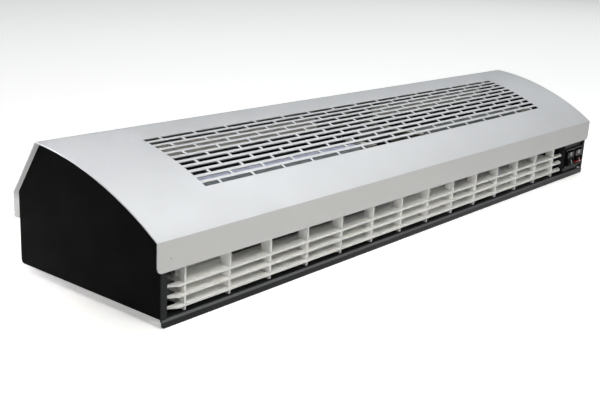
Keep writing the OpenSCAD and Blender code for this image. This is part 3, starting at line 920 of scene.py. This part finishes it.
# Polycarbonate, moulded and polished, smoke red: black from most sides, with a painted red
# glint low on the key.
SWITCH_RED = LampPlastic("polished_polycarbonate_red", "#A3161F", "#0C0203", 22.5)
# Pad printing ink on the keys: flat white.
KEY_INK = MouldedPlastic(
    "pad_printed_ink_white", "#E8E8E6", "#DADAD8", (0.5, 0.6), edge_mm=0.02
)
# Galvanised sheet, warm grey: dull, with a faint flake.
SCROLL_ZINC = ZincSheet("galvanised_sheet", "#DCD9D0", "#C4C1B8", metal=0.15)
# Galvanised sheet under a passivation film: faintly blue, with painted shade in front.
BLUE_ZINC = ZincSheet(
    "passivated_galvanised_sheet",
    "#D6DAF0",
    "#C2C6DC",
    metal=0.15,
    painted_shade_color="#7A8085",
    painted_shade_y_mm=-29.5,
)
# The same sheet with painted shade all over, as the photograph shows the right one: slate
# grey, darker still in front.
SLATE_ZINC = ZincSheet(
    "shaded_galvanised_sheet",
    "#7C8286",
    "#6A7074",
    metal=0.15,
    painted_shade_color="#4E5458",
    painted_shade_y_mm=-29.5,
)
# Aluminium, rolled and black anodised: dark with a broad sheen.
WHEEL_METAL = TurnedMetal(
    "anodised_aluminium_black", "#070708", "#0E0F10", (0.4, 0.55)
)
# Carbon steel, ground: bright, with fine rings.
BRIGHT_STEEL = TurnedMetal("ground_steel", "#C9CACC", "#B3B4B6", (0.18, 0.32))
# Zinc plated steel of the screws: grey with a soft shine.
PLATED_STEEL = TurnedMetal(
    "zinc_plated_steel", "#8E9092", "#77797B", (0.3, 0.45), Axis.Z
)
# Baked black enamel on the motor's pressed casing: black with a satin shine.
MOTOR_ENAMEL = PowderCoat(
    "baked_enamel_black", "#0C0C0D", "#121213", (0.35, 0.5), 0.3
)
# Polypropylene, moulded black, of the capacitor: waxy and a little grey.
CAPACITOR_BLACK = MouldedPlastic(
    "moulded_polypropylene_black", "#151516", "#1C1C1D", (0.4, 0.52), 0.4
)
# Aluminium rivets painted over with the cover, a little darker than it: that darker grey
# is painted shade.
PAINTED_RIVET = PowderCoat(
    "painted_aluminium_rivet", "#9C9C9A", "#8E8E8C", (0.4, 0.5), 0.4, peel_mm=0.5
)
# Bronze, sintered and oiled: brown pores.
BEARING_BRONZE = CastMetal("sintered_bronze", "#B98F4E", "#5D4424", 0.38, 0.8)
# Electrical steel, stamped and stacked: fine lines round it.
ROTOR_STEEL = TurnedMetal(
    "stacked_electrical_steel", "#7C7F82", "#6A6D70", (0.4, 0.55), mark_mm=1.0
)
# Copper wire with amber enamel: glossy rows, with painted shade in the gaps.
COPPER_WINDING = Winding("enamelled_copper_wire", "#B4622C", "#3A1A0C")
# Nitrile rubber, moulded: soft, no highlight, faint bloom.
BLACK_RUBBER = MouldedPlastic(
    "moulded_nitrile_rubber", "#1A1918", "#262422", (0.62, 0.8), 0.3
)
# Stainless tube of the heaters: straw going to brown.
HEATER_TUBE = TintedSteel("heat_tinted_stainless_tube", "#8A827A", "#5C4A3E")
# Phenolic resin of the thermal cutout, pressed: dark brown, half matt.
CUTOUT_RESIN = MouldedPlastic(
    "pressed_phenolic_resin", "#2B211C", "#3A2C25", (0.3, 0.42)
)
# Melamine of the terminal block, moulded: cream, half matt.
PALE_PLASTIC = MouldedPlastic(
    "moulded_melamine_cream", "#DEDCD2", "#CFCCC0", (0.35, 0.5)
)


# ----------------------------------------------------------- building pieces


@dataclass
class Shop:
    """Holds the loaded frame, dresses its nodes and makes new pieces."""

    frame: dict[str, Any]

    def dress(self, finish: Finish, *nodes: str) -> None:
        """Gives CAD nodes a finish.

        Args:
            finish: the finish.
            nodes: names of the nodes.
        """
        for name in nodes:
            obj = self.frame["nodes"][name]
            if not obj.material_slots:
                obj.data.materials.append(None)
            for held in obj.material_slots:
                held.material = finish.material()
            LOG.info("%s: %s", name, finish.name)

    def piece(
        self,
        name: str,
        verts: list[Vector],
        faces: Faces,
        finish: Finish,
        slot: Slot,
        body: Body,
    ) -> None:
        """Makes a mesh piece in place.

        Args:
            name: name of the piece.
            verts: corners in the row frame.
            faces: corner numbers of each face.
            finish: its finish.
            slot: the record's slot that the finish stands for; not used.
            body: the body it rides on.
        """
        mesh = bpy.data.meshes.new(name)
        mesh.from_pydata([tuple(v) for v in verts], [], faces)
        mesh.validate()
        mesh.update()
        obj = bpy.data.objects.new(name, mesh)
        bpy.context.scene.collection.objects.link(obj)
        mesh.materials.append(finish.material())
        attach(obj, body.value)
        LOG.info("%s: %s on %s", name, finish.name, body.value)


def prism(
    outline: Outline, place: Matrix, thick: float, hole: Outline | None = None
) -> tuple[list[Vector], Faces]:
    """Builds a flat plate, with a hole of as many corners if wanted.

    Args:
        outline: corners, anticlockwise, in the plate's own plane.
        place: from the plate's own frame to the row frame.
        thick: height above that plane.
        hole: corners of the hole, one for each corner of the outline.

    Returns:
        Corners and faces.
    """
    n = len(outline)
    loops = [outline] + ([hole] if hole else [])
    verts = [
        place @ Vector((u, v, z))
        for loop in loops
        for z in (0.0, thick)
        for u, v in loop
    ]
    faces: Faces = []
    for i in range(n):
        j = (i + 1) % n
        faces.append((i, j, n + j, n + i))
        if hole:
            faces.append((2 * n + j, 2 * n + i, 3 * n + i, 3 * n + j))
            faces.append((n + i, n + j, 3 * n + j, 3 * n + i))
            faces.append((j, i, 2 * n + i, 2 * n + j))
    if not hole:
        faces.append(tuple(range(n, 2 * n)))
        faces.append(tuple(reversed(range(n))))
    return verts, faces


def ring_points(radius: float, count: int) -> Outline:
    """Corners of a regular outline of that radius."""
    turns = (math.tau / count * i for i in range(count))
    return [(radius * math.cos(turn), radius * math.sin(turn)) for turn in turns]


# ------------------------------------------------------------ sub-assemblies


@dataclass
class Housing:
    """Cover, end plates, tray, rail and their fasteners."""

    shop: Shop

    def build(self) -> None:
        """Dresses the sheet parts and their fasteners."""
        self.shop.dress(WHITE_COAT, "cover")
        self.shop.dress(PLATE_COAT, "blanking_plates")
        self.shop.dress(BLACK_COAT, "end_plate_left", "end_plate_right")
        self.shop.dress(BAFFLE_COAT, "end_baffle")
        self.shop.dress(TRAY_COAT, "base_tray", "wall_rail")
        self.shop.dress(PAINTED_RIVET, "lip_rivets")
        self.shop.dress(PLATED_STEEL, "foot_screws")


@dataclass
class Outlet:
    """Grille of the air outlet, which hangs a little low at its left end."""

    shop: Shop
    # Height above the wall face and how far the moulding hangs there, from the
    # feet of the ribs, which stand on the tray, up to the highest blade.
    heights_mm: tuple[float, ...] = (8.0, 12.0, 14.0, 22.1, 23.9, 32.2)
    hang_mm: tuple[float, ...] = (0.0, 0.9, 0.9, 1.5, 1.5, 2.0)
    # Places along the body and the share of that hang.
    places_mm: tuple[float, ...] = (-170.0, 5.0, 230.0)
    shares: tuple[float, ...] = (1.0, 0.3, -0.3)

    def build(self) -> None:
        """Makes the hanging grille from the straight one and dresses it."""
        mesh = self.shop.frame["nodes"]["outlet_grille"].data.copy()
        mesh.name = "hung_grille"
        for vert in mesh.vertices:
            vert.co.z -= self.hang(vert.co.x / MM, vert.co.z / MM) * MM
        mesh.materials.clear()
        mesh.materials.append(GRILLE_PLASTIC.material())
        mesh.update()
        grille = bpy.data.objects.new("hung_grille", mesh)
        bpy.context.scene.collection.objects.link(grille)
        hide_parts("outlet_grille")
        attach(grille, Body.CHASSIS.value)
        LOG.info("hung_grille: %s", GRILLE_PLASTIC.name)

    def hang(self, along_mm: float, height_mm: float) -> float:
        """Works out how far a point of the grille hangs below its straight place.

        Args:
            along_mm: place along the body.
            height_mm: height above the wall face.

        Returns:
            The drop in millimetres.
        """
        share = np.interp(along_mm, self.places_mm, self.shares)
        return float(share * np.interp(height_mm, self.heights_mm, self.hang_mm))


@dataclass
class Fans:
    """Wheels, housings, shafts and bearings."""

    shop: Shop
    cheeks: int = 4

    def build(self) -> None:
        """Dresses the fan pieces."""
        cheeks = (f"fan_cheek_{i + 1}" for i in range(self.cheeks))
        self.shop.dress(SCROLL_ZINC, *cheeks, "scroll_left", "scroll_right")
        self.shop.dress(BLUE_ZINC, "stabiliser_left")
        self.shop.dress(SLATE_ZINC, "stabiliser_right")
        self.shop.dress(WHEEL_METAL, "fan_wheel_left", "fan_wheel_right")
        self.shop.dress(BLACK_RUBBER, "drive_hubs", "bearing_mounts")
        self.shop.dress(BRIGHT_STEEL, "stub_shafts", "motor_shaft")
        self.shop.dress(BEARING_BRONZE, "end_bearings", "motor_bearings")


@dataclass
class Motor:
    """Motor, its cradle and its capacitor."""

    shop: Shop

    def build(self) -> None:
        """Dresses the motor pieces."""
        self.shop.dress(MOTOR_ENAMEL, "motor_casing")
        self.shop.dress(ROTOR_STEEL, "motor_rotor")
        self.shop.dress(COPPER_WINDING, "motor_stator")
        self.shop.dress(SCROLL_ZINC, "motor_bracket")
        self.shop.dress(CAPACITOR_BLACK, "run_capacitor")


@dataclass
class Heating:
    """Heating tubes and the thermal cutout."""

    shop: Shop

    def build(self) -> None:
        """Dresses the heating pieces."""
        self.shop.dress(HEATER_TUBE, "heater_left", "heater_right")
        self.shop.dress(CUTOUT_RESIN, "thermal_cutout")


@dataclass
class Controls:
    """Switch panel, switches, terminals and gland."""

    shop: Shop
    # Swing of a key, how far the ends of its face stand out from its pin, how
    # much lower the middle lies, and the length of one half of the face.
    key_swing_deg: float = 18.0
    face_mm: float = 8.2
    valley_mm: float = 1.8
    key_r_mm: float = 11.0
    # Thickness of the ink, outer and inner radius of the off ring, half width
    # and half height of the on bar.
    mark_mm: float = 0.12
    ring_mm: tuple[float, float] = (2.4, 1.7)
    bar_mm: tuple[float, float] = (0.4, 2.4)
    ring_corners: int = 32
    # Height and depth of the strip under the panel, which is oval in section.
    seal_mm: tuple[float, float] = (1.7, 1.6)
    seal_corners: int = 16

    def build(self) -> None:
        """Dresses the controls, prints the marks on the keys and adds the strip."""
        self.shop.dress(PANEL_COAT, "switch_panel")
        self.shop.dress(
            SWITCH_BLACK, "rocker_frame_1", "rocker_frame_2", "rocker_key_1"
        )
        self.shop.dress(SWITCH_RED, "rocker_key_2")
        self.shop.dress(PALE_PLASTIC, "terminal_block")
        self.shop.dress(BLACK_RUBBER, "cable_gland")
        self.marks("vent", "vent_rocker", Body.VENT_KEY)
        self.marks("heat", "heat_rocker", Body.HEAT_KEY)
        self.seal()

    def seal(self) -> None:
        """Lays the rubber strip that closes the gap between the panel and the tray."""
        low, high = (Vector(corner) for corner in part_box("switch_panel"))
        tall, deep = (v * MM for v in self.seal_mm)
        oval = [
            (deep / 2 * (1 + u), tall / 2 * (1 + v))
            for u, v in ring_points(1.0, self.seal_corners)
        ]
        along = Matrix(((0, 0, 1), (1, 0, 0), (0, 1, 0))).to_4x4()
        start = Matrix.Translation(Vector((low.x, low.y, low.z - tall)))
        strip = prism(oval, start @ along, high.x - low.x)
        self.shop.piece(
            "panel_seal", *strip, BLACK_RUBBER, Slot.RUBBER, Body.CHASSIS
        )

    def face(self, joint: str, upper: bool) -> Matrix:
        """Frames one half of a key's face: x along the key, y up, z out of it.

        Args:
            joint: name of the key's joint, which gives its pin.
            upper: the half above the pin, or the one below.

        Returns:
            From that frame to the row frame.
        """
        pin = next(j for j in self.shop.frame["joints"] if j["name"] == joint)["pos_m"]
        side = 1 if upper else -1
        slope = math.atan2(self.valley_mm, self.key_r_mm) * side
        mid = self.key_r_mm / 2
        out = -(self.face_mm - self.valley_mm / 2)
        return (
            Matrix.Translation(Vector(pin))
            @ Matrix.Rotation(math.radians(-self.key_swing_deg / 2), 4, "X")
            @ Matrix.Translation(Vector((0.0, out * MM, side * mid * MM)))
            @ Matrix.Rotation(math.pi / 2 + slope, 4, "X")
        )

    def marks(self, name: str, joint: str, body: Body) -> None:
        """Prints the off ring on the upper half and the on bar on the lower half.

        Args:
            name: first word of the pieces' names.
            joint: the key's joint.
            body: the body the marks ride on.
        """
        ring, hole = (ring_points(r * MM, self.ring_corners) for r in self.ring_mm)
        w, h = (half * MM for half in self.bar_mm)
        bar = [(-w, -h), (w, -h), (w, h), (-w, h)]
        for sign, upper, outline, inner in (
            ("off", True, ring, hole),
            ("on", False, bar, None),
        ):
            mark = prism(outline, self.face(joint, upper), self.mark_mm * MM, inner)
            self.shop.piece(
                f"{name}_{sign}_mark", *mark, KEY_INK, Slot.PALE_PLASTIC, body
            )


# ------------------------------------------------------------------- studio

# Linear colours of the lamps.
WARM: Triple = (1.0, 0.985, 0.96)
WHITE: Triple = (1.0, 1.0, 1.0)
COOL: Triple = (0.94, 0.98, 1.0)


@dataclass(frozen=True)
class SeamlessPaper(Finish):
    """Pale background paper, lit through from below: matt and faintly cloudy."""

    color: str
    shade_color: str
    cloud_mm: float = 900.0
    roughness: float = 0.9
    specular: float = 0.1
    glow: float = 0.45

    def shade(self, tree: Tree, place: Socket) -> dict[str | int, Any]:
        """Mixes the two tones in wide clouds and makes the paper glow.

        Args:
            tree: node tree of the material.
            place: position on the object, in metres.

        Returns:
            A value, or the socket to link from, for inputs of the shader.
        """
        clouds = self.patches(tree, place, self.cloud_mm)
        return {
            "Base Color": self.tint(tree, self.color, (clouds, self.shade_color)),
            "Roughness": self.roughness,
            "Specular IOR Level": self.specular,
            "Emission Color": linear(self.color),
            "Emission Strength": self.glow,
        }


PAPER = SeamlessPaper("seamless_paper", "#F4F4F3", "#F1F1F0")


@dataclass(frozen=True)
class SoftLight:
    """One square soft box, with its side in metres and its power in watts."""

    name: str
    place: Triple
    side: float
    power: float
    color: Triple = WHITE
    aim: Triple = (0.0, 0.0, 0.05)
    spread_deg: float = 180.0

    def build(self) -> None:
        """Hangs the light and turns it to its aim."""
        lamp = bpy.data.lights.new(self.name, "AREA")
        lamp.shape = "SQUARE"
        lamp.size = self.side
        lamp.energy = self.power
        lamp.color = self.color
        lamp.spread = math.radians(self.spread_deg)
        obj = bpy.data.objects.new(self.name, lamp)
        bpy.context.scene.collection.objects.link(obj)
        obj.location = self.place
        way = Vector(self.aim) - Vector(self.place)
        obj.rotation_mode = "QUATERNION"
        obj.rotation_quaternion = way.to_track_quat("-Z", "Y")


@dataclass
class Studio:
    """Floor, light and camera."""

    floor_half: float = 40.0
    frame_px: tuple[int, int] = (600, 400)
    # The photograph's viewpoint, in degrees, metres and pixels of its frame.
    azimuth: float = -52.696
    elevation: float = 17.087
    roll: float = 3.401
    place: Triple = (-0.88552, -0.62111, 0.31373)
    focal_px: float = 950.0
    centre_px: tuple[float, float] = (327.27, 222.68)
    sensor_mm: float = 36.0
    # Nothing but the soft boxes and the paper gives light.
    sky: float = 0.0
    lights: tuple[SoftLight, ...] = (
        SoftLight("key", (-0.4, -0.7, 0.95), side=0.5, power=8.0, color=WARM),
        SoftLight("left", (-1.3, -1.6, 1.7), side=1.4, power=2.6, color=WARM),
        # A narrow beam for the inside of the left rear skirt.
        SoftLight(
            "skirt",
            (-1.4, -0.5, 0.42),
            side=0.15,
            power=0.19,
            aim=(-0.41, 0.094, 0.055),
            spread_deg=8.0,
        ),
        SoftLight("top", (0.0, 0.2, 2.2), side=2.4, power=20.0),
        SoftLight("gloss_high", (3.2, 0.6, 4.4), side=2.5, power=88.0, color=COOL),
        SoftLight("gloss_right", (4.0, 0.3, 3.6), side=2.5, power=18.0, color=COOL),
    )

    def build(self) -> None:
        """Builds the whole set."""
        self.lay_floor()
        for light in self.lights:
            light.build()
        world = bpy.data.worlds.new("studio")
        world.use_nodes = True
        backdrop = world.node_tree.nodes["Background"].inputs
        backdrop["Color"].default_value = (*WHITE, 1.0)
        backdrop["Strength"].default_value = self.sky
        bpy.context.scene.world = world
        bpy.context.scene.view_settings.view_transform = "Standard"
        self.set_camera()

    def lay_floor(self) -> None:
        """Lays the paper at the level that the model stands on."""
        h = self.floor_half
        corners = [(-h, -h, 0), (h, -h, 0), (h, h, 0), (-h, h, 0)]
        mesh = bpy.data.meshes.new("floor")
        mesh.from_pydata(corners, [], [(0, 1, 2, 3)])
        floor = bpy.data.objects.new("floor", mesh)
        bpy.context.scene.collection.objects.link(floor)
        floor.location.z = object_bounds()[0][2]
        mesh.materials.append(PAPER.material())
        floor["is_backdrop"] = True

    def set_camera(self) -> None:
        """Puts the camera where the photograph was taken from."""
        turns = (self.azimuth, self.elevation, self.roll)
        az, el, roll = (math.radians(turn) for turn in turns)
        back = Vector(
            (math.sin(az) * math.cos(el), -math.cos(az) * math.cos(el), math.sin(el))
        )
        right = (-back).cross(Vector((0, 0, 1))).normalized()
        up = right.cross(-back)
        across = math.cos(roll) * right + math.sin(roll) * up
        upward = -math.sin(roll) * right + math.cos(roll) * up
        width, height = self.frame_px
        data = bpy.data.cameras.new("camera")
        data.sensor_width = self.sensor_mm
        data.lens = self.focal_px / width * self.sensor_mm
        data.shift_x = (width / 2 - self.centre_px[0]) / width
        data.shift_y = (self.centre_px[1] - height / 2) / width
        camera = bpy.data.objects.new("camera", data)
        bpy.context.scene.collection.objects.link(camera)
        turn = Matrix((across, upward, back)).transposed()
        camera.matrix_world = Matrix.Translation(Vector(self.place)) @ turn.to_4x4()
        bpy.context.scene.camera = camera


def main() -> None:
    """Builds the sub-assemblies in order, then the studio."""
    logging.basicConfig(level=logging.INFO, format="%(name)s: %(message)s")
    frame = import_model()
    shop = Shop(frame)
    for part in (Housing, Outlet, Fans, Motor, Heating, Controls):
        part(shop).build()
    Studio().build()


if __name__ == "__main__":
    main()
